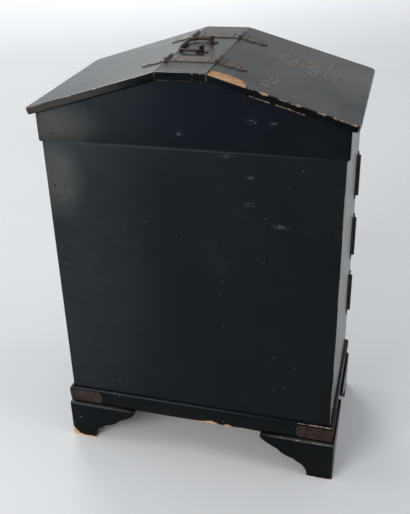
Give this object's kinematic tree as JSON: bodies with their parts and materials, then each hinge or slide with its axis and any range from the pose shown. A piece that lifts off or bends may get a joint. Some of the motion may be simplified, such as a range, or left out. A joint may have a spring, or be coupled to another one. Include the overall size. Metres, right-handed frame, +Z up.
{
  "type": "lacquer cabinet",
  "caption": "Black lacquer cabinet with hinged doors over shelves, scalloped bracket feet, and a gabled roof of hinged flaps over a shallow compartment, lifted by a bail.",
  "frame": {"origin": "on the floor under the middle of the roof", "axes": "+Z up, front with the doors towards -Y, +X to the right of a person who stands behind and looks at the back from +Y as -X"},
  "size_m": [0.3744, 0.223, 0.5388],
  "materials": {
    "lacquer": "worn gloss black lacquer",
    "inner_lacquer": "thin dark brown lacquer",
    "iron": "dark brown rust patina",
    "copper": "dull brown patina"
  },
  "bodies": {
    "case": {"side_panel_right": "lacquer", "side_panel_left": "lacquer", "back_panel": "lacquer", "bottom_board": "inner_lacquer", "shelf_1": "inner_lacquer", "shelf_2": "inner_lacquer", "deck_board": "inner_lacquer", "base_rail": "lacquer", "gable_board_front": "lacquer", "gable_board_back": "lacquer", "band_board_right": "lacquer", "band_board_left": "lacquer", "ridge_board": "lacquer", "ridge_strap_front": "iron", "ridge_strap_back": "iron", "flap_pin_left_front": "iron", "flap_pin_left_back": "iron", "flap_pin_right_front": "iron", "flap_pin_right_back": "iron", "handle_rosette_front": "iron", "handle_rosette_back": "iron", "handle_post_front": "iron", "handle_post_back": "iron", "base_moulding_front": "lacquer", "base_moulding_right": "lacquer", "base_moulding_back": "lacquer", "base_moulding_left": "lacquer", "bracket_foot_front_left": "lacquer", "bracket_foot_front_right": "lacquer", "bracket_foot_back_left": "lacquer", "bracket_foot_back_right": "lacquer", "corner_mount_front_left": "copper", "corner_mount_front_right": "copper", "corner_mount_back_left": "copper", "corner_mount_back_right": "copper", "case_leaf_left_1": "iron", "case_leaf_left_2": "iron", "case_leaf_left_3": "iron", "case_leaf_right_1": "iron", "case_leaf_right_2": "iron", "case_leaf_right_3": "iron"},
    "flap_left": {"roof_flap_left": "lacquer", "flap_leaf_left_front": "iron", "flap_leaf_left_back": "iron"},
    "flap_right": {"roof_flap_right": "lacquer", "flap_leaf_right_front": "iron", "flap_leaf_right_back": "iron"},
    "door_left": {"door_left": "lacquer", "door_knob_left": "iron", "door_leaf_left_1": "iron", "door_leaf_left_2": "iron", "door_leaf_left_3": "iron"},
    "door_right": {"door_right": "lacquer", "door_knob_right": "iron", "door_leaf_right_1": "iron", "door_leaf_right_2": "iron", "door_leaf_right_3": "iron"},
    "bail": {"bail_handle": "iron"}
  },
  "joints": [
    {"name": "flap_left_hinge", "type": "hinge", "parent": "case", "child": "flap_left", "pos_m": [-0.0285, 0, 0.53274], "axis": [0, 1, 0], "range_deg": [0, 100]},
    {"name": "flap_right_hinge", "type": "hinge", "parent": "case", "child": "flap_right", "pos_m": [0.0285, 0, 0.53274], "axis": [0, -1, 0], "range_deg": [0, 100]},
    {"name": "door_left_hinge", "type": "hinge", "parent": "case", "child": "door_left", "pos_m": [-0.1773, -0.0786, 0.26225], "axis": [0, 0, -1], "range_deg": [0, 170]},
    {"name": "door_right_hinge", "type": "hinge", "parent": "case", "child": "door_right", "pos_m": [0.1773, -0.0786, 0.26225], "axis": [0, 0, 1], "range_deg": [0, 170]},
    {"name": "bail_pivot", "type": "hinge", "parent": "case", "child": "bail", "pos_m": [0, 0, 0.53344], "axis": [0, -1, 0], "range_deg": [0, 181]}
  ]
}
